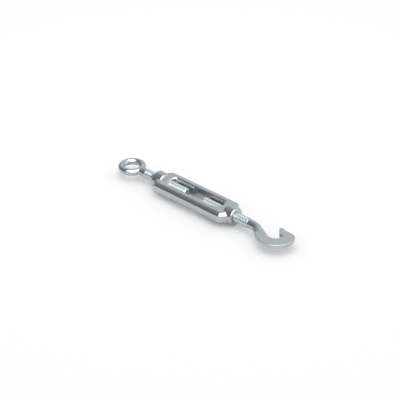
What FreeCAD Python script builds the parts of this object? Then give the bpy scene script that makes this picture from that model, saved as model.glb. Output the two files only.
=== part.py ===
import FreeCAD, Part
import math
import os
import re

import Sketcher
from FreeCAD import Placement, Rotation, Vector

# Hook and eye turnbuckle for M12 rigging, in millimetres.
# The origin is the centre of the eye, +X runs to the hook and +Z is up.
# The shanks carry threads of opposite hand, so turning the body draws both
# bolts in or lets both out by the same length.

SIZES = {
    # open body, forged in one piece
    "body_length": 125.0,
    "frame_width": 36.5,
    "frame_height": 15.2,
    "frame_edge_radius": 5.8,
    "frame_setback": 4.7,
    "corner_cut": 7.0,
    "hub_diameter": 22.2,
    "hub_land": 14.2,
    "hub_rim_radius": 1.8,
    "hub_step_bevel": 0.8,
    "window_width": 17.7,
    "window_length": 82.0,
    "window_end_rise": 2.8,
    "window_corner_radius": 1.6,
    "window_lip_bevel": 0.6,
    "mouth_chamfer": 1.0,
    # threaded shanks of both bolts
    "thread_diameter": 12.0,
    "thread_length": 68.0,
    "thread_clearance": 0.06,
    "shank_chamfer": 1.2,
    "shank_gap": 27.0,
    "neck_diameter": 10.6,
    # eye
    "eye_bore": 18.0,
    "eye_wire": 8.3,
    "eye_reach": 23.4,
    "eye_neck_stub": 1.4,
    "eye_flare_width": 15.0,
    "eye_flare_sink": 0.4,
    "eye_waist_width": 10.6,
    "eye_waist_depth": 8.3,
    # hook
    "hook_reach": 36.5,
    "hook_offset": 1.4,
    "hook_thickness": 4.9,
    "hook_edge_bevel": 0.6,
    "hook_seat_radius": 9.5,
    "hook_outer_radius": 22.9,
    "hook_swell": 0.2,
    "hook_shank_slope": 28.7,
    "hook_back_height": 12.2,
    "hook_back_radius": 9.0,
    "hook_lip": 2.2,
    "hook_start_angle": 212.0,
    "hook_tip_inset": 3.6,
    "hook_tip_overhang": 3.6,
    "hook_tip_radius": 1.4,
    "hook_nose_rise": 1.4,
    "hook_nose_length": 3.6,
    "hook_nose_foot": 3.0,
    # neck between the hook's shank and its flat
    "neck_run": 4.5,
    "neck_swing": 42.0,
    "neck_bend_depth": 9.8,
    "neck_blend_start": 13.7,
    "neck_blend_end": 7.0,
    "neck_blend_width": 10.6,
    "neck_blend_depth": 7.0,
    "neck_sunk_width": 10.6,
    "neck_sunk_depth": 4.6,
    "neck_sink": 1.4,
}

doc = FreeCAD.newDocument("Turnbuckle")
sheet = doc.addObject("Spreadsheet::Sheet", "Sizes")
for row, (alias, number) in enumerate(SIZES.items(), start=1):
    sheet.set(f"A{row}", alias)
    sheet.set(f"B{row}", str(number))
    sheet.setAlias(f"B{row}", alias)
doc.recompute()


def value(expression):
    """The number that an expression in the sheet's aliases comes to."""
    return float(sheet.evalExpression(expression))


def tie(thing, member, expression):
    """Bind one property or constraint to an expression in the sheet's aliases."""
    named = re.sub("|".join(rf"\b{alias}\b" for alias in SIZES), r"Sizes.\g<0>", expression)
    thing.setExpression(member, named)


def new_body(label):
    body = doc.addObject("PartDesign::Body", label)
    body.Label = label
    return body


def new_sketch(body, name, plane, shift=("0", "0", "0"), turn=None):
    """A sketch on an origin plane; shift and turn are in the sketch's own directions."""
    sketch = body.newObject("Sketcher::SketchObject", name)
    origin_plane = [item for item in body.Origin.OriginFeatures if item.Role == plane][0]
    sketch.AttachmentSupport = [(origin_plane, "")]
    sketch.MapMode = "FlatFace"
    axis, angle = turn or (Vector(0, 0, 1), 0)
    sketch.AttachmentOffset = Placement(Vector(*[value(part) for part in shift]), Rotation(axis, angle))
    for letter, part in zip("xyz", shift):
        tie(sketch, f"AttachmentOffset.Base.{letter}", part)
    return sketch


def constrain(sketch, *definition, expression=None):
    index = sketch.addConstraint(Sketcher.Constraint(*definition))
    if expression:
        tie(sketch, f"Constraints[{index}]", expression)
    return index


def pin(sketch, edge, end, corner):
    """Hold one end of an edge at two tied coordinates."""
    for kind, expression in zip(("DistanceX", "DistanceY"), corner):
        constrain(sketch, kind, -1, 1, edge, end, value(expression), expression=expression)


def outline(sketch, corners, arcs=None):
    """A closed line through tied corners.

    arcs gives an edge by its number a tied radius and a side: +1 has the arc's
    centre left of the way round, -1 right of it.
    """
    arcs = arcs or {}
    points = [Vector(value(x), value(y), 0) for x, y in corners]
    ends = []
    for number, start in enumerate(points):
        finish = points[(number + 1) % len(points)]
        if number not in arcs:
            edge = sketch.addGeometry(Part.LineSegment(start, finish))
            ends.append((edge, 1, 2))
            continue
        radius, side = arcs[number]
        reach = value(radius)
        half = (finish - start) / 2
        across = Vector(-half.y, half.x, 0).normalize() * side
        centre = start + half + across * math.sqrt(reach ** 2 - half.Length ** 2)
        first, last = (start, finish) if side > 0 else (finish, start)
        angles = [math.atan2(point.y - centre.y, point.x - centre.x) for point in (first, last)]
        circle = Part.Circle(centre, Vector(0, 0, 1), reach)
        edge = sketch.addGeometry(Part.ArcOfCircle(circle, angles[0], angles[1]))
        ends.append((edge, 1, 2) if side > 0 else (edge, 2, 1))
    for number, (edge, first, last) in enumerate(ends):
        after, after_first, _ = ends[(number + 1) % len(ends)]
        constrain(sketch, "Coincident", edge, last, after, after_first)
        pin(sketch, edge, first, corners[number])
        if number in arcs:
            radius = arcs[number][0]
            constrain(sketch, "Radius", edge, value(radius), expression=radius)


def tied_circle(sketch, diameter, centre=("0", "0")):
    point = Vector(value(centre[0]), value(centre[1]), 0)
    edge = sketch.addGeometry(Part.Circle(point, Vector(0, 0, 1), value(diameter) / 2))
    constrain(sketch, "Diameter", edge, value(diameter), expression=diameter)
    pin(sketch, edge, 3, centre)


def extrude(body, sketch, kind, name, length):
    """A pad or pocket that runs equally to both sides of its sketch."""
    feature = body.newObject(f"PartDesign::{kind}", name)
    feature.Profile = sketch
    feature.SideType = "Symmetric"
    feature.Length = value(length)
    tie(feature, "Length", length)
    doc.recompute()
    return feature


def turn_about(body, sketch, kind, name, axis):
    feature = body.newObject(f"PartDesign::{kind}", name)
    feature.Profile = sketch
    feature.ReferenceAxis = (sketch, [axis])
    feature.Angle = 360
    doc.recompute()
    return feature


def edges_where(feature, test):
    """Names of the edges whose middle, and the edge itself, meet a test."""
    names = []
    for number, edge in enumerate(feature.Shape.Edges, start=1):
        if edge.Length < 1e-3:
            continue
        middle = edge.valueAt((edge.FirstParameter + edge.LastParameter) / 2)
        if test(middle, edge):
            names.append(f"Edge{number}")
    return names


def dress(body, kind, name, feature, names, amount):
    """Round or bevel the named edges of a feature by a tied amount."""
    dressing = body.newObject(f"PartDesign::{kind}", name)
    dressing.Base = (feature, names)
    member = "Radius" if kind == "Fillet" else "Size"
    setattr(dressing, member, value(amount))
    tie(dressing, member, amount)
    doc.recompute()
    return dressing


# Where the pieces stand along the line of pull.
EYE_SHANK_END = "eye_reach + thread_length"
BODY_CENTRE = "eye_reach + thread_length + shank_gap / 2"
HOOK_SHANK_START = "eye_reach + thread_length + shank_gap"

# The ring's wire is turned as a polygon of this many sides, round to 0.05 mm.
WIRE_SIDES = 20

# The thread runs out to the neck in a short cone.
THREAD_RUNOUT = "(thread_diameter - neck_diameter) / 2"

# A box section reads as round when its corner radius is just under half its depth.
NEARLY_ROUND = "0.485"


def build_open_body():
    """Forged frame: a pad rounded all along its rim, two turned hubs, a window and the bores."""
    body = new_body("open_body")

    # The frame in plan is a long rectangle with its four corners cut off.
    end = "(body_length / 2 - frame_setback)"
    side = "frame_width / 2"
    plan = new_sketch(body, "frame_plan", "XY_Plane")
    outline(plan, [
        (f"-{end} + corner_cut", f"-{side}"),
        (f"{end} - corner_cut", f"-{side}"),
        (end, f"-{side} + corner_cut"),
        (end, f"{side} - corner_cut"),
        (f"{end} - corner_cut", side),
        (f"-{end} + corner_cut", side),
        (f"-{end}", f"{side} - corner_cut"),
        (f"-{end}", f"-{side} + corner_cut"),
    ])
    frame = extrude(body, plan, "Pad", "frame", "frame_height")
    half_height = value("frame_height / 2")
    rim = edges_where(frame, lambda middle, edge: abs(abs(middle.z) - half_height) < 1e-4)
    frame = dress(body, "Fillet", "frame_rounding", frame, rim, "frame_edge_radius")

    # Each hub is a round boss that stands proud of the frame's flats and of its end.
    # Its rim is broken by two cones whose corners lie on the rim's radius.
    hub_profile = new_sketch(body, "hub_profile", "XY_Plane")
    far = "body_length / 2"
    near = "(body_length / 2 - hub_land)"
    radius = "hub_diameter / 2"
    rim_middle = "hub_rim_radius * (1 - sqrt(1 / 2))"
    outline(hub_profile, [
        (near, "0"),
        (far, "0"),
        (far, f"{radius} - hub_rim_radius"),
        (f"{far} - {rim_middle}", f"{radius} - {rim_middle}"),
        (f"{far} - hub_rim_radius", radius),
        (f"{near} + hub_step_bevel", radius),
        (near, f"{radius} - hub_step_bevel"),
    ])
    hub = turn_about(body, hub_profile, "Revolution", "hub", "H_Axis")
    pair = body.newObject("PartDesign::Mirrored", "hub_pair")
    pair.Originals = [hub]
    pair.MirrorPlane = ([item for item in body.Origin.OriginFeatures if item.Role == "YZ_Plane"][0], [""])
    body.Tip = pair
    doc.recompute()

    # The window between the rails ends in shallow arcs.
    corner_x = "(window_length / 2 - window_end_rise)"
    corner_y = "window_width / 2"
    end_radius = "((window_width / 2) ^ 2 + window_end_rise ^ 2) / (2 * window_end_rise)"
    window_plan = new_sketch(body, "window_plan", "XY_Plane")
    outline(window_plan, [
        (f"-{corner_x}", f"-{corner_y}"),
        (corner_x, f"-{corner_y}"),
        (corner_x, corner_y),
        (f"-{corner_x}", corner_y),
    ], {1: (end_radius, 1), 3: (end_radius, 1)})
    window = extrude(body, window_plan, "Pocket", "window", "2 * frame_height")
    upright = edges_where(window, lambda middle, edge: edge.Curve.TypeId == "Part::GeomLine"
                          and abs(middle.z) < 1e-4
                          and abs(abs(middle.x) - value(corner_x)) < 1e-3
                          and abs(abs(middle.y) - value(corner_y)) < 1e-3)
    window = dress(body, "Fillet", "window_corners", window, upright, "window_corner_radius")
    lip = edges_where(window, lambda middle, edge: abs(abs(middle.z) - half_height) < 1e-4
                      and abs(middle.y) < value(corner_y) + 1e-3
                      and abs(middle.x) < value("window_length / 2") + 1e-3)
    window = dress(body, "Chamfer", "window_lips", window, lip, "window_lip_bevel")

    # One line of bores takes both shanks, with a bevel at each mouth.
    bore_circle = new_sketch(body, "bore_circle", "YZ_Plane")
    tied_circle(bore_circle, "thread_diameter + 2 * thread_clearance")
    bore = extrude(body, bore_circle, "Pocket", "bore", "body_length + 2")
    mouths = edges_where(bore, lambda middle, edge: abs(abs(edge.BoundBox.Center.x) - value(far)) < 1e-4
                         and edge.BoundBox.XLength < 1e-4
                         and edge.BoundBox.ZLength < value("thread_diameter + 4 * thread_clearance"))
    dress(body, "Chamfer", "bore_mouths", bore, mouths, "mouth_chamfer")
    tie(body, "Placement.Base.x", BODY_CENTRE)
    return body


def box_section(body, name, place, heading, width, depth, corner):
    """A rounded box outline that stands upright across a heading in the plan."""
    sketch = new_sketch(body, name, "YZ_Plane", (place[1], "0", place[0]), (Vector(0, 1, 0), value(heading)))
    tie(sketch, "AttachmentOffset.Rotation.Angle", f"({heading}) * 1 deg")
    wide = f"({width}) / 2"
    tall = f"({depth}) / 2"
    inner_wide = f"({wide} - {corner})"
    inner_tall = f"({tall} - {corner})"
    outline(sketch, [
        (f"-{inner_wide}", f"-{tall}"),
        (inner_wide, f"-{tall}"),
        (wide, f"-{inner_tall}"),
        (wide, inner_tall),
        (inner_wide, tall),
        (f"-{inner_wide}", tall),
        (f"-{wide}", inner_tall),
        (f"-{wide}", f"-{inner_tall}"),
    ], {number: (corner, 1) for number in (1, 3, 5, 7)})
    return sketch


def loft(body, name, sections):
    """A smooth skin over sections in their order."""
    feature = body.newObject("PartDesign::AdditiveLoft", name)
    feature.Profile = sections[0]
    feature.Sections = sections[1:]
    doc.recompute()
    return feature


def build_eye_bolt():
    """One forging: a ring, a neck that flares into it and a threaded shank."""
    body = new_body("eye_bolt")
    wire = new_sketch(body, "ring_wire", "XZ_Plane")
    middle = "((eye_bore + eye_wire) / 2)"
    turns = [360 * (side + 0.5) / WIRE_SIDES for side in range(WIRE_SIDES)]
    outline(wire, [(f"{middle} + eye_wire / 2 * cos({turn})", f"eye_wire / 2 * sin({turn})")
                   for turn in turns])
    turn_about(body, wire, "Revolution", "ring", "V_Axis")

    # The neck is round at the shank, narrows to a waist where it meets the ring and
    # then spreads sideways inside the wire, no thicker than the wire itself.
    stub = "(eye_reach - eye_neck_stub)"
    waist = "(eye_bore / 2 + eye_wire)"
    flare_depth = "(eye_wire - 2 * eye_flare_sink)"
    sections = [
        box_section(body, "neck_round", (stub, "0"), "0", "neck_diameter", "neck_diameter",
                    f"neck_diameter * {NEARLY_ROUND}"),
        box_section(body, "neck_waist", (waist, "0"), "0", "eye_waist_width", "eye_waist_depth",
                    f"eye_waist_depth * {NEARLY_ROUND}"),
        box_section(body, "neck_flare", (f"{middle} + 2 * eye_flare_sink", "0"), "0", "eye_flare_width",
                    flare_depth, f"{flare_depth} * {NEARLY_ROUND}"),
    ]
    loft(body, "neck", sections)

    profile = new_sketch(body, "shank_profile", "XY_Plane")
    finish = f"({EYE_SHANK_END})"
    outline(profile, [
        (stub, "0"),
        (finish, "0"),
        (finish, "thread_diameter / 2 - shank_chamfer"),
        (f"{finish} - shank_chamfer", "thread_diameter / 2"),
        (f"eye_reach + {THREAD_RUNOUT}", "thread_diameter / 2"),
        ("eye_reach", "neck_diameter / 2"),
        (stub, "neck_diameter / 2"),
    ])
    turn_about(body, profile, "Revolution", "shank", "H_Axis")
    return body


def beside_shank(along, inward):
    """A place told from where the seat runs out into the hook's straight inner side."""
    across = "sin(hook_shank_slope)"
    down = "cos(hook_shank_slope)"
    return (f"-(hook_seat_radius + {inward}) * {across} - ({along}) * {down}",
            f"-(hook_seat_radius + {inward}) * {down} + ({along}) * {across}")


def build_hook_flat(body, centre):
    """The flattened hook: a plan of arcs, padded, with a rounded tip and rounded rims."""
    back_reach = "(hook_outer_radius - hook_back_radius)"
    back_turn = f"asin((hook_back_height - hook_back_radius) / {back_reach})"
    nose_top = "hook_back_height + hook_nose_rise"
    nose_end = "(hook_nose_length - hook_tip_overhang)"
    rim_at = [(f"hook_swell + hook_outer_radius * cos({turn})", f"hook_outer_radius * sin({turn})")
              for turn in ("hook_start_angle", back_turn)]
    plan = new_sketch(body, "hook_plan", "XY_Plane", (*centre, "0"))
    outline(plan, [
        *rim_at,
        (f"hook_swell + {back_reach} * cos({back_turn})", "hook_back_height"),
        (f"{nose_end} + hook_nose_foot + hook_nose_rise", "hook_back_height"),
        (f"{nose_end} + hook_nose_foot / 2", nose_top),
        (f"{nose_end} - hook_nose_length + hook_nose_rise", nose_top),
        ("-hook_tip_overhang", "hook_back_height - hook_nose_rise / 2"),
        ("hook_tip_inset", "hook_lip"),
        ("sqrt(hook_seat_radius ^ 2 - hook_lip ^ 2)", "hook_lip"),
        beside_shank("0", "0"),
        beside_shank("neck_blend_start + neck_sink", "0"),
    ], {0: ("hook_outer_radius", 1), 1: ("hook_back_radius", 1), 8: ("hook_seat_radius", -1)})
    flat = extrude(body, plan, "Pad", "hook", "hook_thickness")

    lip_level = value(f"{centre[1]} + hook_lip") - 1e-3
    seat_side = value(f"{centre[0]} - hook_seat_radius")
    corners = edges_where(flat, lambda middle, edge: edge.Curve.TypeId == "Part::GeomLine"
                          and abs(middle.z) < 1e-4 and middle.x > seat_side and middle.y > lip_level)
    flat = dress(body, "Fillet", "hook_tip", flat, corners, "hook_tip_radius")
    half = value("hook_thickness / 2")
    rims = edges_where(flat, lambda middle, edge: abs(abs(middle.z) - half) < 1e-4)
    return dress(body, "Chamfer", "hook_rims", flat, rims, "hook_edge_bevel")


def build_hook_bolt():
    """One forging: a threaded shank, a round neck that swings aside, and a flattened hook."""
    body = new_body("hook_bolt")
    centre = ("(thread_length + hook_reach)", "hook_offset")
    build_hook_flat(body, centre)

    # The neck leaves the shank round, swings aside along a parabola, stays nearly round
    # to its bend and is then hammered flatter until it sinks into the flat of the hook.
    start = "(thread_length + neck_run)"
    blend, sunk = [[f"{middle} + {step}" for middle, step in zip(centre, beside_shank(along, inward))]
                   for along, inward in (("neck_blend_start", "neck_blend_width / 2"),
                                         ("neck_blend_end", "(neck_sunk_width / 2 + neck_sink)"))]
    halfway = (f"({start} + {blend[0]}) / 2", f"({blend[1]}) / 4")
    sections = [
        box_section(body, "neck_round", (start, "0"), "0", "neck_diameter", "neck_diameter",
                    f"neck_diameter * {NEARLY_ROUND}"),
        box_section(body, "neck_bend", halfway, "-neck_swing / 2", "neck_diameter",
                    "neck_bend_depth", f"neck_bend_depth * {NEARLY_ROUND}"),
        box_section(body, "neck_blend", blend, "-neck_swing", "neck_blend_width",
                    "neck_blend_depth", f"neck_blend_depth * {NEARLY_ROUND}"),
        box_section(body, "neck_sunk", sunk, "-neck_swing", "neck_sunk_width",
                    "neck_sunk_depth", "hook_edge_bevel"),
    ]
    loft(body, "neck", sections)

    profile = new_sketch(body, "shank_profile", "XY_Plane")
    outline(profile, [
        ("0", "0"),
        (start, "0"),
        (start, "neck_diameter / 2"),
        ("thread_length", "neck_diameter / 2"),
        (f"thread_length - {THREAD_RUNOUT}", "thread_diameter / 2"),
        ("shank_chamfer", "thread_diameter / 2"),
        ("0", "thread_diameter / 2 - shank_chamfer"),
    ])
    turn_about(body, profile, "Revolution", "shank", "H_Axis")
    tie(body, "Placement.Base.x", HOOK_SHANK_START)
    return body


bodies = [build_open_body(), build_eye_bolt(), build_hook_bolt()]
doc.recompute()
failed = [item.Name for item in doc.Objects if {"Invalid", "Error"} & set(item.State)]
if failed:
    raise RuntimeError(f"these did not build: {failed}")
for body in bodies:
    if body.Shape.isNull() or not body.Shape.isValid() or len(body.Shape.Solids) != 1:
        raise RuntimeError(f"{body.Label} is not one sound solid")
os.makedirs("parts", exist_ok=True)
for body in bodies:
    body.Shape.exportStep(f"parts/{body.Label}.step")
    print(body.Label, round(body.Shape.Volume), "cubic mm")
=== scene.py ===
import math

import bmesh
import bpy
from mathutils import Matrix, Vector


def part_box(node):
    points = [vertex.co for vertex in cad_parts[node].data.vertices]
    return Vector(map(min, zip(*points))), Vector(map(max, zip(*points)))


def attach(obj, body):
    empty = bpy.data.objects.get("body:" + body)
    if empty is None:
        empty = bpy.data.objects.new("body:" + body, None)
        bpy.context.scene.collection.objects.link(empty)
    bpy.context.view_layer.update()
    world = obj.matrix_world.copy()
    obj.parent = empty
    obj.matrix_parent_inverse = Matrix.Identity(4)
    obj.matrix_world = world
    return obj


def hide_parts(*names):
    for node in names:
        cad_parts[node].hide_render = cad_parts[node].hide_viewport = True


bl_info = {
    "name": "Rigging Turnbuckle",
    "version": (1, 0, 0),
    "blender": (4, 5, 0),
    "location": "View3D > Sidebar > Turnbuckle",
    "description": "Dresses a hook and eye turnbuckle in bright zinc and cuts its threads",
    "category": "Object",
}

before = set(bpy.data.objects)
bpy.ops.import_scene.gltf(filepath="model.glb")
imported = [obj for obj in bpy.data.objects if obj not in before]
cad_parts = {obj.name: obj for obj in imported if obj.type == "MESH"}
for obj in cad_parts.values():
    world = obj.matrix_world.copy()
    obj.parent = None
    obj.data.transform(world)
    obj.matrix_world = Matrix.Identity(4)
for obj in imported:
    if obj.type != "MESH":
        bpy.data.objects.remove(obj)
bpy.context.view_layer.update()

BODY_LOW, BODY_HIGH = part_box("open_body")
HOOK_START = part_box("hook_bolt")[0].x  # the free end of the hook's shank

MM = 0.001
SAME = 1e-3            # points nearer than this, in millimetres, are one point
ROUND = 96             # facets round a turned piece
NECK_SIDES = 48        # facets round a neck
THREAD_FACETS = 36     # facets in one turn of a thread
FORGED_GRAIN = 900.0   # noise scale of the grain on forged zinc
ROLLED_GRAIN = 1400.0  # and on rolled threads


# Sizes and finishes that a user would change

def length(label, description, millimetres):
    return bpy.props.FloatProperty(name=label, description=description,
                                   default=millimetres * MM, min=0.0, unit="LENGTH", precision=5)


def colour(label, description, shade):
    return bpy.props.FloatVectorProperty(name=label, description=description, default=shade,
                                         min=0.0, max=1.0, size=3, subtype="COLOR")


def amount(label, description, number):
    return bpy.props.FloatProperty(name=label, description=description, default=number,
                                   min=0.0, max=1.0, subtype="FACTOR")


class BodySizes(bpy.types.PropertyGroup):
    width: length("Width", "Width of the forged frame over its rails", 36.5)
    height: length("Height", "Height of the forged frame over its flats", 15.2)
    rounding: length("Rounding", "Radius along the top and bottom of the rails", 5.8)
    setback: length("Setback", "How far the frame ends inside the hubs' faces", 4.7)
    corner: length("Corner", "Leg of the cut across each corner of the frame", 7.0)
    hub: length("Hub", "Diameter of the round hubs", 22.2)
    land: length("Hub land", "Length of each hub", 14.2)
    hub_rim: length("Hub rim", "Radius of the rounding at each hub's face", 1.8)
    hub_step: length("Hub step", "Radius of the rounding at each hub's inner end", 2.4)
    window_length: length("Window length", "Length of the window between the rails", 82.0)
    window_width: length("Window width", "Width of the window between the rails", 17.7)
    window_rise: length("Window rise", "Depth of the arc at each end of the window", 2.8)
    window_corner: length("Window corner", "Radius in the corners of the window", 2.4)
    window_draft: length("Window draft", "How far each wall leans in from flats to mid height", 0.9)
    window_lip: length("Window lip", "Radius along the edges of the window", 1.9)
    bore: length("Bore", "Diameter of the bores", 12.12)
    mouth: length("Mouth", "Bevel at the mouth of each bore", 0.4)


class ThreadSizes(bpy.types.PropertyGroup):
    diameter: length("Diameter", "Outer diameter of the threads", 12.0)
    pitch: length("Pitch", "Advance of the thread in one turn", 1.75)
    depth: length("Depth", "Depth of the rolled thread", 0.54)
    run: length("Run", "Length of each threaded shank", 68.0)
    bevel: length("Bevel", "Bevel at the free end of each thread", 1.2)
    collar: length("Collar", "Length of the plain collar between thread and neck", 1.6)
    neck: length("Neck", "Diameter of the plain neck, which the collar tapers to", 10.6)


class EyeSizes(bpy.types.PropertyGroup):
    bore: length("Bore", "Diameter of the hole in the eye", 18.0)
    wire: length("Wire", "Diameter of the eye's wire", 8.3)
    reach: length("Reach", "From the centre of the eye to the shoulder of the thread", 23.4)


class HookSizes(bpy.types.PropertyGroup):
    seat: length("Seat", "Radius of the hook's seat", 9.5)
    outer: length("Outer", "Radius of the hook's outer side", 22.9)
    thickness: length("Thickness", "Thickness of the flattened hook", 4.9)
    edge: length("Edge", "Radius along the rims of the hook", 0.6)
    tip: length("Tip", "Radius of the upright corners at the tip", 1.1)
    lip: length("Lip", "Height of the lip over the centre of the seat", 2.2)
    back: length("Back", "Height of the hook's back over the centre of the seat", 12.2)
    back_radius: length("Back radius", "Radius where the outer side turns into the back", 9.0)


class Finish(bpy.types.PropertyGroup):
    forging: colour("Forging", "Colour of the zinc on the forged pieces", (0.565, 0.602, 0.625))
    thread: colour("Thread", "Colour of the zinc on the rolled threads", (0.64, 0.71, 0.74))
    gloss: amount("Roughness", "Roughness of the plated surface", 0.14)
    floor: colour("Floor", "Colour of the floor", (0.86, 0.86, 0.86))


# Socket arithmetic

def grey(level):
    return (level, level, level)


class Flow:
    """One output socket of a node tree, with arithmetic."""

    def __init__(self, shader, socket):
        self.shader = shader
        self.socket = socket

    def _math(self, operation, *values, clamp=False):
        node = self.shader.node("ShaderNodeMath",
                                {"operation": operation, "use_clamp": clamp},
                                dict(enumerate(values)))
        return node["Value"]

    def __add__(self, other):
        return self._math("ADD", self, other)

    __radd__ = __add__

    def __sub__(self, other):
        return self._math("SUBTRACT", self, other)

    def __rsub__(self, other):
        return self._math("SUBTRACT", other, self)

    def __mul__(self, other):
        return self._math("MULTIPLY", self, other)

    __rmul__ = __mul__

    def limited(self):
        """Held between 0 and 1."""
        return self._math("ADD", self, 0.0, clamp=True)


class Outputs:
    """A node whose outputs are read by name."""

    def __init__(self, shader, node):
        self.shader = shader
        self.node = node

    def __getitem__(self, name):
        return Flow(self.shader, self.node.outputs[name])


class Shader:
    """A node tree that is filled one node at a time."""

    def __init__(self, tree):
        self.tree = tree
        tree.nodes.clear()

    def node(self, kind, settings=None, inputs=None):
        made = self.tree.nodes.new(kind)
        for name, setting in (settings or {}).items():
            if name == "stops":
                ramp = made.color_ramp
                while len(ramp.elements) < len(setting):
                    ramp.elements.new(1.0)
                for element, (place, level) in zip(ramp.elements, setting):
                    element.position = place
                    element.color = (*grey(level), 1.0)
            else:
                setattr(made, name, setting)
        for name, given in (inputs or {}).items():
            if isinstance(given, Flow):
                self.tree.links.new(given.socket, made.inputs[name])
            else:
                made.inputs[name].default_value = given
        return Outputs(self, made)

    def step(self, given, low, high):
        """0 below the low value, 1 above the high one and smooth between."""
        return self.node("ShaderNodeMapRange", {"interpolation_type": "SMOOTHSTEP"},
                         {"Value": given, "From Min": low, "From Max": high})["Result"]

    def noise(self, place, scale, detail, roughness):
        return self.node("ShaderNodeTexNoise", inputs={
            "Vector": place, "Scale": scale, "Detail": detail, "Roughness": roughness})["Fac"]

    def mix(self, factor, first, second):
        return self.blend("MIX", factor, first, second)

    def blend(self, way, factor, first, second):
        """Two colours blended by a factor."""
        mixed = self.node("ShaderNodeMix", {"data_type": "RGBA", "blend_type": way},
                          {0: factor})
        for number, given in ((6, first), (7, second)):
            if isinstance(given, Flow):
                self.tree.links.new(given.socket, mixed.node.inputs[number])
            else:
                mixed.node.inputs[number].default_value = (*given, 1.0)
        return Flow(self, mixed.node.outputs[2])


def plated_steel(name, shade, roughness, grain, grain_height, rounding=0.0):
    """Bright zinc over steel: a faint cloudy tone, a fine grain and softened inner corners."""
    material = bpy.data.materials.new(name)
    material.use_nodes = True
    shader = Shader(material.node_tree)
    place = shader.node("ShaderNodeTexCoord")["Object"]
    cloud = shader.noise(place, scale=60.0, detail=4.0, roughness=0.55)
    fine = shader.noise(place, scale=grain, detail=3.0, roughness=0.6)
    dull = tuple(0.9 * part for part in shade)
    tone = shader.node("ShaderNodeValToRGB", {"stops": [(0.35, 0.0), (0.65, 1.0)]},
                       {"Fac": cloud})["Color"]
    bump = {"Strength": 1.0, "Distance": grain_height, "Height": fine}
    if rounding:
        bump["Normal"] = shader.node("ShaderNodeBevel", {"samples": 8},
                                     {"Radius": rounding})["Normal"]
    steel = shader.node("ShaderNodeBsdfPrincipled", inputs={
        "Base Color": shader.mix(tone * 0.7, shade, dull),
        "Metallic": 1.0,
        "Roughness": roughness - 0.03 + cloud * 0.08,
        "Normal": shader.node("ShaderNodeBump", inputs=bump)["Normal"],
    })
    shader.node("ShaderNodeOutputMaterial", inputs={"Surface": steel["BSDF"]})
    return material


# Mesh helpers; shapes are drawn in millimetres and scaled to metres at the end

def millimetres(metres):
    return metres / MM


def drawn(bm, start, moves):
    """A chain of edges in the XY plane from straight and round moves; gives its two ends.

    A move is ("line", x, y) or ("arc", centre_x, centre_y, degrees, steps).
    """
    first = last = bm.verts.new((*start, 0.0))
    for kind, x, y, *rest in moves:
        if kind == "line":
            point = bm.verts.new((x, y, 0.0))
            bm.edges.new((last, point))
            last = point
        else:
            degrees, steps = rest
            swept = bmesh.ops.spin(bm, geom=[last], cent=(x, y, 0.0), axis=(0.0, 0.0, 1.0),
                                   angle=math.radians(degrees), steps=steps)
            last = swept["geom_last"][0]
    return first, last


def outline(bm, start, moves):
    """A closed loop of edges in the XY plane."""
    first, last = drawn(bm, start, moves)
    if (last.co - first.co).length < SAME:
        bmesh.ops.pointmerge(bm, verts=[last, first], merge_co=first.co)
    else:
        bm.edges.new((last, first))


def slab(bm, thickness):
    """Fill the loops drawn so far and give them a thickness about the XY plane."""
    filled = bmesh.ops.contextual_create(bm, geom=bm.edges[:])["faces"]
    bmesh.ops.translate(bm, verts=bm.verts[:], vec=(0.0, 0.0, -thickness / 2))
    raised = bmesh.ops.extrude_face_region(bm, geom=filled)["geom"]
    bmesh.ops.translate(bm, vec=(0.0, 0.0, thickness),
                        verts=[item for item in raised if isinstance(item, bmesh.types.BMVert)])
    bmesh.ops.recalc_face_normals(bm, faces=bm.faces[:])


def edges_where(bm, test):
    return [edge for edge in bm.edges if test((edge.verts[0].co + edge.verts[1].co) / 2, edge)]


def round_edges(bm, edges, radius, segments):
    bmesh.ops.bevel(bm, geom=edges, offset=radius, offset_type="OFFSET", segments=segments,
                    profile=0.5, affect="EDGES", material=-1, clamp_overlap=False)


def upright(edge):
    across = edge.verts[0].co - edge.verts[1].co
    return abs(across.z) > 0.9 * across.length


def turned(bm):
    """Spin the profile drawn so far about the X axis into a closed skin."""
    bmesh.ops.spin(bm, geom=bm.verts[:] + bm.edges[:], cent=(0.0, 0.0, 0.0),
                   axis=(1.0, 0.0, 0.0), angle=2 * math.pi, steps=ROUND, use_merge=True)
    bmesh.ops.remove_doubles(bm, verts=bm.verts[:], dist=0.1 * SAME)
    bmesh.ops.recalc_face_normals(bm, faces=bm.faces[:])


def solid(name, bm):
    """A mesh object from a bmesh, still in millimetres."""
    mesh = bpy.data.meshes.new(name)
    bm.to_mesh(mesh)
    bm.free()
    made = bpy.data.objects.new(name, mesh)
    bpy.context.scene.collection.objects.link(made)
    return made


def joined(base, tool, operation):
    """Unite the base with a tool, or cut it by the tool, which is used up."""
    change = base.modifiers.new("shape", "BOOLEAN")
    change.operation = operation
    change.solver = "EXACT"
    change.object = tool
    bpy.context.view_layer.update()
    shaped = base.evaluated_get(bpy.context.evaluated_depsgraph_get())
    mesh = bpy.data.meshes.new_from_object(shaped)
    base.modifiers.clear()
    spent = base.data
    base.data = mesh
    mesh.name = base.name
    bpy.data.meshes.remove(spent)
    bpy.data.objects.remove(tool)


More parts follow.
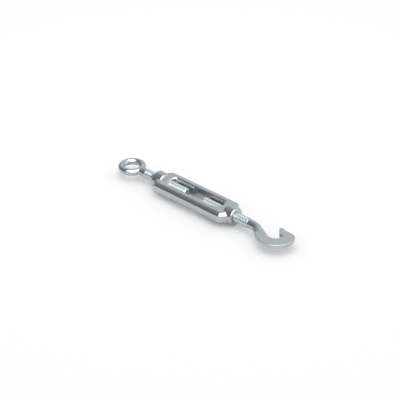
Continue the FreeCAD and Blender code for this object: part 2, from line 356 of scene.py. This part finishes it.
def finished(made, material, body, nodes, crease, weighted=True):
    """Scale to metres, shade smooth up to a crease in degrees, and hand over to the CAD body."""
    bm = bmesh.new()
    bm.from_mesh(made.data)
    bmesh.ops.scale(bm, vec=(MM, MM, MM), verts=bm.verts[:])
    bm.to_mesh(made.data)
    bm.free()
    made.data.materials.clear()
    made.data.materials.append(material)
    for face in made.data.polygons:
        face.use_smooth = True
    made.data.set_sharp_from_angle(angle=math.radians(crease))
    if weighted:
        evened = made.modifiers.new("even_normals", "WEIGHTED_NORMAL")
        evened.keep_sharp = True
    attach(made, body)
    if nodes:
        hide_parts(*nodes)


class MakeBody(bpy.types.Operator):
    """Forge the open body: a rounded frame, two hubs, a window and the bores"""
    bl_idname = "turnbuckle.make_body"
    bl_label = "Open body"

    def execute(self, context):
        size = context.scene.turnbuckle_body
        finish = context.scene.turnbuckle_finish
        middle = millimetres((BODY_LOW.x + BODY_HIGH.x) / 2)
        half_length = millimetres(BODY_HIGH.x - BODY_LOW.x) / 2
        side = millimetres(size.width) / 2
        height = millimetres(size.height)
        end = half_length - millimetres(size.setback)
        cut = millimetres(size.corner)

        # frame with all its rims rounded
        bm = bmesh.new()
        outline(bm, (end - cut, -side), [("line", end, -side + cut), ("line", end, side - cut),
                                         ("line", end - cut, side), ("line", -end + cut, side),
                                         ("line", -end, side - cut), ("line", -end, -side + cut),
                                         ("line", -end + cut, -side)])
        slab(bm, height)
        rims = edges_where(bm, lambda at, edge: abs(abs(at.z) - height / 2) < SAME)
        round_edges(bm, rims, millimetres(size.rounding), 14)
        body = solid("body_forging", bm)

        # window with hollow ends, rounded corners and walls that lean in to mid height
        half_window = millimetres(size.window_length) / 2
        across = millimetres(size.window_width) / 2
        rise = millimetres(size.window_rise)
        draft = millimetres(size.window_draft)
        sweep = 2 * math.degrees(math.asin(2 * across * rise / (across ** 2 + rise ** 2)))
        radius = (across ** 2 + rise ** 2) / (2 * rise)
        corner = half_window - rise
        bm = bmesh.new()
        outline(bm, (corner, -across), [("arc", half_window - radius, 0.0, sweep, 16),
                                        ("line", -corner, across),
                                        ("arc", radius - half_window, 0.0, sweep, 16)])
        slab(bm, 2 * height)
        corners = edges_where(bm, lambda at, edge: upright(edge)
                              and abs(abs(at.y) - across) < SAME)
        round_edges(bm, corners, millimetres(size.window_corner), 10)
        bmesh.ops.bisect_plane(bm, geom=bm.verts[:] + bm.edges[:] + bm.faces[:],
                               plane_co=(0.0, 0.0, 0.0), plane_no=(0.0, 0.0, 1.0))
        for vert in bm.verts:
            spread = draft * (2 * abs(vert.co.z) / height - 1)
            vert.co.x *= 1 + spread / half_window
            vert.co.y *= 1 + spread / across
        joined(body, solid("window", bm), "DIFFERENCE")

        # lips along the window's edges
        margin = 10 * SAME
        bm = bmesh.new()
        bm.from_mesh(body.data)
        lips = edges_where(bm, lambda at, edge: abs(abs(at.z) - height / 2) < SAME
                           and abs(at.y) < across + margin and abs(at.x) < half_window + margin
                           and edge.is_manifold and edge.calc_face_angle() > 1.0)
        round_edges(bm, lips, millimetres(size.window_lip), 9)
        bm.to_mesh(body.data)
        bm.free()

        # hubs: one profile, turned round for the other end
        hub = millimetres(size.hub) / 2
        near = half_length - millimetres(size.land)
        step = millimetres(size.hub_step)
        rim = millimetres(size.hub_rim)
        for sign in (-1, 1):
            bm = bmesh.new()
            drawn(bm, (near, 0.0), [("line", near, hub - step),
                                    ("arc", near + step, hub - step, -90, 12),
                                    ("line", half_length - rim, hub),
                                    ("arc", half_length - rim, hub - rim, -90, 14),
                                    ("line", half_length, 0.0)])
            turned(bm)
            if sign < 0:
                bmesh.ops.rotate(bm, verts=bm.verts[:], cent=(0.0, 0.0, 0.0),
                                 matrix=Matrix.Rotation(math.pi, 3, "Z"))
            joined(body, solid("hub", bm), "UNION")

        # bores with bevelled mouths
        bore = millimetres(size.bore) / 2
        mouth = millimetres(size.mouth)
        bm = bmesh.new()
        drawn(bm, (-half_length - 1, 0.0), [("line", -half_length - 1, bore + mouth + 1),
                                            ("line", -half_length + mouth, bore),
                                            ("line", half_length - mouth, bore),
                                            ("line", half_length + 1, bore + mouth + 1),
                                            ("line", half_length + 1, 0.0)])
        turned(bm)
        joined(body, solid("bore", bm), "DIFFERENCE")

        # from the origin to the body's place
        bm = bmesh.new()
        bm.from_mesh(body.data)
        bmesh.ops.translate(bm, verts=bm.verts[:], vec=(middle, 0.0, 0.0))
        bm.to_mesh(body.data)
        bm.free()
        zinc = plated_steel("forged_zinc", tuple(finish.forging), finish.gloss,
                            FORGED_GRAIN, 0.02 * MM)
        finished(body, zinc, "open_body", ["open_body"], crease=13.0)
        return {"FINISHED"}


def threaded(size, start, hand, neck_first):
    """A rolled thread along X with a bevelled free end and a plain collar at the neck."""
    outer = millimetres(size.diameter) / 2
    root = outer - millimetres(size.depth)
    pitch = millimetres(size.pitch)
    run = millimetres(size.run)
    bevel = millimetres(size.bevel)
    taper = (millimetres(size.diameter) - millimetres(size.neck)) / 2
    collar = millimetres(size.collar)
    first, last = (taper, bevel) if neck_first else (bevel, taper)

    # one ridge as shares of the pitch and radii, wound with spare turns at both ends
    ridge = [(0.0, root), (0.06, root), (0.36, outer), (0.64, outer), (0.94, root), (1.0, root)]
    turns = math.ceil(run / pitch) + 3
    bm = bmesh.new()
    drawn(bm, (start - 2 * pitch, root),
          [("line", start + (part - 2) * pitch, reach) for part, reach in ridge[1:]])
    bmesh.ops.spin(bm, geom=bm.verts[:] + bm.edges[:], cent=(0.0, 0.0, 0.0),
                   axis=(1.0, 0.0, 0.0), dvec=(pitch / THREAD_FACETS, 0.0, 0.0),
                   angle=hand * 2 * math.pi * turns, steps=THREAD_FACETS * turns)
    bmesh.ops.remove_doubles(bm, verts=bm.verts[:], dist=SAME)

    # spare turns cut off, then the bevel, the collar and its taper
    for plane, normal in ((start, -1.0), (start + run, 1.0)):
        bmesh.ops.bisect_plane(bm, geom=bm.verts[:] + bm.edges[:] + bm.faces[:],
                               plane_co=(plane, 0.0, 0.0), plane_no=(normal, 0.0, 0.0),
                               clear_outer=True)
    for vert in bm.verts:
        limit = outer - max(first - (vert.co.x - start), last - (start + run - vert.co.x), 0.0)
        reach = math.hypot(vert.co.y, vert.co.z)
        plain = vert.co.x < start + collar if neck_first else vert.co.x > start + run - collar
        if plain or reach > limit:
            vert.co.y *= limit / reach
            vert.co.z *= limit / reach
    rims = [edge for edge in bm.edges if edge.is_boundary]
    bmesh.ops.holes_fill(bm, edges=rims, sides=0)
    bmesh.ops.recalc_face_normals(bm, faces=bm.faces[:])
    return bm


class MakeThreads(bpy.types.Operator):
    """Roll the left-hand thread of the eye bolt and the right-hand thread of the hook bolt"""
    bl_idname = "turnbuckle.make_threads"
    bl_label = "Threads"

    def execute(self, context):
        size = context.scene.turnbuckle_thread
        finish = context.scene.turnbuckle_finish
        zinc = plated_steel("rolled_zinc", tuple(finish.thread), finish.gloss,
                            ROLLED_GRAIN, 0.002 * MM)
        reach = millimetres(context.scene.turnbuckle_eye.reach)
        for name, start, hand, neck_first, body, slot in (
                ("eye_thread", reach, -1, True, "eye_bolt", "eye_zinc"),
                ("hook_thread", millimetres(HOOK_START), 1, False, "hook_bolt", "hook_zinc")):
            thread = solid(name, threaded(size, start, hand, neck_first))
            finished(thread, zinc, body, [], crease=25.0, weighted=False)
        return {"FINISHED"}


def tube(bm, stations, sides):
    """A closed tube through stations.

    A station is a centre, a heading, half width, half depth and squareness (2 is round).
    """
    first = ring = bmesh.ops.create_circle(bm, segments=sides, radius=1.0)["verts"]
    turns = [2 * math.pi * number / sides for number in range(sides)]
    for number, (centre, heading, wide, deep, square) in enumerate(stations):
        if number:
            edges = [edge for edge in bm.edges if (edge.is_boundary or edge.is_wire)
                     and edge.verts[0] in ring and edge.verts[1] in ring]
            grown = bmesh.ops.extrude_edge_only(bm, edges=edges)["geom"]
            fresh = {item for item in grown if isinstance(item, bmesh.types.BMVert)}
            ring = [next(edge.other_vert(vert) for edge in vert.link_edges
                         if edge.other_vert(vert) in fresh) for vert in ring]
        for vert, turn in zip(ring, turns):
            across = math.copysign(abs(math.cos(turn)) ** (2 / square), math.cos(turn)) * wide
            up = math.copysign(abs(math.sin(turn)) ** (2 / square), math.sin(turn)) * deep
            vert.co = (centre[0] - across * math.sin(heading),
                       centre[1] + across * math.cos(heading), up)
    bmesh.ops.contextual_create(bm, geom=first)
    bmesh.ops.contextual_create(bm, geom=ring)
    bmesh.ops.recalc_face_normals(bm, faces=bm.faces[:])


class MakeEye(bpy.types.Operator):
    """Forge the eye: a ring whose wire spreads into the neck of the shank"""
    bl_idname = "turnbuckle.make_eye"
    bl_label = "Eye"

    def execute(self, context):
        size = context.scene.turnbuckle_eye
        finish = context.scene.turnbuckle_finish
        neck = millimetres(context.scene.turnbuckle_thread.neck) / 2
        wire = millimetres(size.wire) / 2
        middle = millimetres(size.bore) / 2 + wire
        reach = millimetres(size.reach)
        bm = bmesh.new()
        bmesh.ops.create_circle(bm, segments=40, radius=wire)
        bmesh.ops.rotate(bm, verts=bm.verts[:], cent=(0.0, 0.0, 0.0),
                         matrix=Matrix.Rotation(math.pi / 2, 3, "X"))
        bmesh.ops.translate(bm, verts=bm.verts[:], vec=(middle, 0.0, 0.0))
        bmesh.ops.spin(bm, geom=bm.verts[:] + bm.edges[:], cent=(0.0, 0.0, 0.0),
                       axis=(0.0, 0.0, 1.0), angle=2 * math.pi, steps=ROUND, use_merge=True)
        bmesh.ops.remove_doubles(bm, verts=bm.verts[:], dist=SAME)
        bmesh.ops.recalc_face_normals(bm, faces=bm.faces[:])
        eye = solid("eye_forging", bm)

        # neck: round at the shank, wider and flatter where it spreads into the wire
        sunk = 0.6        # how far it reaches into the wire and into the shank
        flare_run = 5.2   # length over which it spreads
        root_wide = 7.6   # half width in the wire
        root_deep = 3.75  # half depth in the wire
        rings = 14
        stations = []
        for number in range(rings + 1):
            along = middle + sunk + (reach + sunk - middle - sunk) * number / rings
            flare = max(0.0, 1 - (along - middle - sunk) / flare_run)
            wide = neck + (root_wide - neck) * flare ** 2
            deep = neck - (neck - root_deep) * min(1.0, flare * 1.3)
            stations.append(((along, 0.0), 0.0, wide, deep, 2.0))
        bm = bmesh.new()
        tube(bm, stations, NECK_SIDES)
        joined(eye, solid("eye_neck", bm), "UNION")
        zinc = plated_steel("eye_zinc", tuple(finish.forging), finish.gloss * 0.9,
                            FORGED_GRAIN, 0.015 * MM, rounding=1.2 * MM)
        finished(eye, zinc, "eye_bolt", ["eye_bolt"], weighted=False, crease=60.0)
        return {"FINISHED"}


class MakeHook(bpy.types.Operator):
    """Forge the hook: a flattened claw and the neck that swings aside from the shank"""
    bl_idname = "turnbuckle.make_hook"
    bl_label = "Hook"

    def execute(self, context):
        size = context.scene.turnbuckle_hook
        thread = context.scene.turnbuckle_thread
        finish = context.scene.turnbuckle_finish
        seat = millimetres(size.seat)
        outer = millimetres(size.outer)
        lip = millimetres(size.lip)
        back = millimetres(size.back)
        turn = millimetres(size.back_radius)
        thickness = millimetres(size.thickness)
        shoulder = millimetres(HOOK_START) + millimetres(thread.run)
        centre = Vector((shoulder + 36.5, 1.4, 0.0))  # of the seat

        # claw in plan, centred on its seat: the outer side, the back, the tip, the lip, the seat
        # and the straight inner side towards the neck
        swell = 0.2                    # the outer side's centre lies this far beyond the seat's
        start = 212.0                  # degrees, where the outer side begins under the neck
        slope = math.radians(28.7)     # lean of the straight inner side
        side_length = 15.1
        tip_high = back + 1.4          # the tip stands this far over the back
        back_reach = outer - turn
        back_turn = math.asin((back - turn) / back_reach)
        downwards = Vector((-math.sin(slope), -math.cos(slope)))
        side_start = downwards * seat
        side_along = Vector((-math.cos(slope), math.sin(slope)))
        far = side_start + side_along * side_length
        bm = bmesh.new()
        outline(bm, (swell + outer * math.cos(math.radians(start)),
                     outer * math.sin(math.radians(start))), [
            ("arc", swell, 0.0, 360 - start + math.degrees(back_turn), 72),
            ("arc", swell + back_reach * math.cos(back_turn), back_reach * math.sin(back_turn),
             90 - math.degrees(back_turn), 16),
            ("line", 4.4, back),         # foot of the tip
            ("line", 1.5, tip_high),
            ("line", -2.2, tip_high),
            ("line", -3.6, back - 0.7),  # point of the hook
            ("line", 3.6, lip),          # end of the lip
            ("line", math.sqrt(seat ** 2 - lip ** 2), lip),
            ("arc", 0.0, 0.0, -math.degrees(math.asin(lip / seat)) - 90 - math.degrees(slope), 44),
            ("line", far.x, far.y),
        ])
        slab(bm, thickness)
        tips = edges_where(bm, lambda at, edge: upright(edge) and at.x > -seat
                           and at.y > lip - SAME and edge.calc_face_angle() > 0.3)
        round_edges(bm, tips, millimetres(size.tip), 4)
        rims = edges_where(bm, lambda at, edge: abs(abs(at.z) - thickness / 2) < SAME)
        round_edges(bm, rims, millimetres(size.edge), 5)
        bmesh.ops.translate(bm, verts=bm.verts[:], vec=centre)
        bmesh.ops.recalc_face_normals(bm, faces=bm.faces[:])
        hook = solid("hook_forging", bm)

        # neck: round at the shank, wider and flatter where it sinks into the claw
        neck = millimetres(thread.neck) / 2
        swing = math.radians(-42.0)  # heading where it meets the claw
        flat = 3.65                  # half depth there
        wide = 5.3                   # half width there
        sunk_deep = 2.25             # half depth at its end, inside the claw

        # where it leaves the shank's line, meets the claw and ends inside it
        leave = Vector((shoulder + 4.5, 0.0, 0.0))
        blend = centre + (side_start + side_along * 13.7 + downwards * 5.3).to_3d()
        sunk = centre + (side_start + side_along * 7.0 + downwards * 6.7).to_3d()

        # a smooth curve between the first two, pulled along both headings
        pull = (blend.x - leave.x) * 0.5
        ahead = leave + Vector((pull, 0.0, 0.0))
        behind = blend - Vector((math.cos(swing), math.sin(swing), 0.0)) * pull * 0.8
        stations = [((shoulder - 0.6, 0.0), 0.0, neck, neck, 2.0),
                    ((leave.x - 1.0, 0.0), 0.0, neck, neck, 2.0)]
        rings = 12
        for number in range(rings + 1):
            part = number / rings
            rest = 1 - part
            at = (rest ** 3 * leave + 3 * rest ** 2 * part * ahead
                  + 3 * rest * part ** 2 * behind + part ** 3 * blend)
            go = (3 * rest ** 2 * (ahead - leave) + 6 * rest * part * (behind - ahead)
                  + 3 * part ** 2 * (blend - behind))
            deep = neck - (neck - flat) * part ** 1.8
            stations.append(((at.x, at.y), math.atan2(go.y, go.x), neck, deep, 2.0))
        for part in (0.25, 0.5, 0.75, 1.0):
            at = blend.lerp(sunk, part)
            stations.append(((at.x, at.y), swing, wide - 0.1 * part,
                             flat - (flat - sunk_deep) * part, 2.0 + 0.2 * part))
        bm = bmesh.new()
        tube(bm, stations, NECK_SIDES)
        joined(hook, solid("hook_neck", bm), "UNION")
        zinc = plated_steel("hook_zinc", tuple(finish.forging), finish.gloss,
                            FORGED_GRAIN, 0.02 * MM)
        finished(hook, zinc, "hook_bolt", ["hook_bolt"], crease=20.0)
        return {"FINISHED"}


class MakeStage(bpy.types.Operator):
    """Set the floor, the studio's walls, the soft lamp and the camera"""
    bl_idname = "turnbuckle.make_stage"
    bl_label = "Stage"

    def execute(self, context):
        scene = context.scene
        finish = scene.turnbuckle_finish
        scene.view_settings.view_transform = "Standard"

        self.lay_floor(tuple(finish.floor))
        self.paint_studio(scene)
        self.hang_lamp(scene)
        self.place_camera(scene)
        return {"FINISHED"}

    def lay_floor(self, shade):
        """A wide matt floor under the body; the camera sees it a little lighter."""
        bm = bmesh.new()
        bmesh.ops.create_circle(bm, cap_ends=True, segments=64, radius=6.0)
        bmesh.ops.translate(bm, verts=bm.verts[:],
                            vec=((BODY_LOW.x + BODY_HIGH.x) / 2, 0.0, BODY_LOW.z))
        floor = solid("floor", bm)
        material = bpy.data.materials.new("studio_floor")
        material.use_nodes = True
        shader = Shader(material.node_tree)
        matt = shader.node("ShaderNodeBsdfDiffuse", inputs={"Color": (*shade, 1.0)})["BSDF"]
        seen = shader.node("ShaderNodeLightPath")["Is Camera Ray"]
        lift = shader.node("ShaderNodeEmission", inputs={"Strength": seen * 0.13})["Emission"]
        both = shader.node("ShaderNodeAddShader", inputs={0: matt, 1: lift})["Shader"]
        shader.node("ShaderNodeOutputMaterial", inputs={"Surface": both})
        floor.data.materials.append(material)

    def paint_studio(self, scene):
        """A world that the metal mirrors as grey walls and a softbox overhead."""
        world = bpy.data.worlds.new("studio")
        scene.world = world
        world.use_nodes = True
        shader = Shader(world.node_tree)
        place = shader.node("ShaderNodeSeparateXYZ",
                            inputs={0: shader.node("ShaderNodeTexCoord")["Generated"]})
        x, y, z = place["X"], place["Y"], place["Z"]

        # walls: the left one darker towards the camera and the floor, the right one lighter,
        # with a bright panel far on the right and a dark foot near the camera
        left = shader.node("ShaderNodeValToRGB", {"stops": [
            (0.15, 0.21), (0.29, 0.25), (0.42, 0.325), (0.57, 0.41), (0.70, 0.54), (0.81, 0.76),
            (1.0, 0.8)]}, {"Fac": y * 0.5 + 0.5})["Color"]
        dimmed = shader.mix(shader.step(z, 0.0, 0.35), grey(0.5), grey(1.0))
        left = shader.blend("MULTIPLY", 1.0, left, dimmed)
        right = shader.mix(shader.step(x, 0.7, 0.92), grey(0.8), grey(1.1))
        panel = (shader.step(x, 0.42, 0.55) * shader.step(y, 0.15, 0.35)
                 * shader.step(z, 0.12, 0.22) * (1 - shader.step(z, 0.57, 0.66)))
        right = shader.mix(panel, right, grey(1.5))
        foot = (shader.step(0 - y, 0.2, 0.45) * shader.step(x, 0.3, 0.5)
                * (1 - shader.step(z, 0.14, 0.3)))
        right = shader.mix(foot, right, grey(0.5))
        walls = shader.mix(shader.step(x, -0.45, 0.1), left, right)

        # softbox: everything high enough, apart from the far left below the ceiling
        inside = shader.step(x, -0.28, -0.19)
        above = shader.step(z - y * 0.5 + (0 - y).limited() * 0.3, 0.64, 0.69)
        clear = shader.step(z, 0.28, 0.33)
        turned_right = shader.step(x + y * 0.424, -0.03, 0.04)
        overhead = shader.step(z, 0.64, 0.7)
        softbox = inside * above * clear * (1 - (1 - turned_right) * (1 - overhead))
        mirrored = shader.mix(softbox, walls, grey(2.4))

        # the floor is lit by a sky brighter overhead, and the camera sees plain white
        sky = z.limited() * 0.4 + 0.65
        path = shader.node("ShaderNodeLightPath")
        tone = shader.mix(path["Is Glossy Ray"], sky, mirrored)
        tone = shader.mix(path["Is Camera Ray"], tone, grey(1.0))
        glow = shader.node("ShaderNodeBackground", inputs={"Color": tone, "Strength": 1.0})
        shader.node("ShaderNodeOutputWorld", inputs={"Surface": glow["Background"]})

    def hang_lamp(self, scene):
        """One square lamp overhead for the soft shadow; the metal doesn't mirror it."""
        light = bpy.data.lights.new("top_lamp", "AREA")
        light.shape = "RECTANGLE"
        light.size = light.size_y = 1.0
        light.energy = 2.0
        lamp = bpy.data.objects.new("top_lamp", light)
        lamp.location = (0.0, 0.15, 1.2)
        lamp.visible_glossy = False
        aim = Vector((0.1, 0.0, 0.0)) - lamp.location
        lamp.rotation_euler = aim.to_track_quat("-Z", "Y").to_euler()
        scene.collection.objects.link(lamp)

    def place_camera(self, scene):
        """The photo's camera, solved from the object's straight edges."""
        lens = bpy.data.cameras.new("camera")
        lens.sensor_width = 36.0
        lens.lens = 95.1
        camera = bpy.data.objects.new("camera", lens)
        camera.location = (0.8055, -0.7725, 0.6670)
        aim = Vector((0.10977, 0.00221, -0.00251)) - camera.location
        camera.rotation_euler = aim.to_track_quat("-Z", "Y").to_euler()
        scene.collection.objects.link(camera)
        scene.camera = camera


class TurnbucklePanel(bpy.types.Panel):
    """Buttons that make each group of pieces"""
    bl_idname = "VIEW3D_PT_turnbuckle"
    bl_label = "Turnbuckle"
    bl_space_type = "VIEW_3D"
    bl_region_type = "UI"
    bl_category = "Turnbuckle"

    def draw(self, context):
        for maker in MAKERS:
            self.layout.operator(maker.bl_idname)
        for group in GROUPS:
            column = self.layout.column(align=True)
            for entry in GROUPS[group].__annotations__:
                column.prop(getattr(context.scene, group), entry)


GROUPS = {
    "turnbuckle_body": BodySizes,
    "turnbuckle_thread": ThreadSizes,
    "turnbuckle_eye": EyeSizes,
    "turnbuckle_hook": HookSizes,
    "turnbuckle_finish": Finish,
}
MAKERS = (MakeBody, MakeEye, MakeHook, MakeThreads, MakeStage)


def register():
    for group in GROUPS.values():
        bpy.utils.register_class(group)
    for maker in (*MAKERS, TurnbucklePanel):
        bpy.utils.register_class(maker)
    for name, group in GROUPS.items():
        setattr(bpy.types.Scene, name, bpy.props.PointerProperty(type=group))


def unregister():
    for name in GROUPS:
        delattr(bpy.types.Scene, name)
    for maker in reversed((*MAKERS, TurnbucklePanel)):
        bpy.utils.unregister_class(maker)
    for group in reversed(list(GROUPS.values())):
        bpy.utils.unregister_class(group)


def main():
    register()
    bpy.ops.turnbuckle.make_body()
    bpy.ops.turnbuckle.make_eye()
    bpy.ops.turnbuckle.make_hook()
    bpy.ops.turnbuckle.make_threads()
    bpy.ops.turnbuckle.make_stage()


if __name__ == "__main__":
    main()
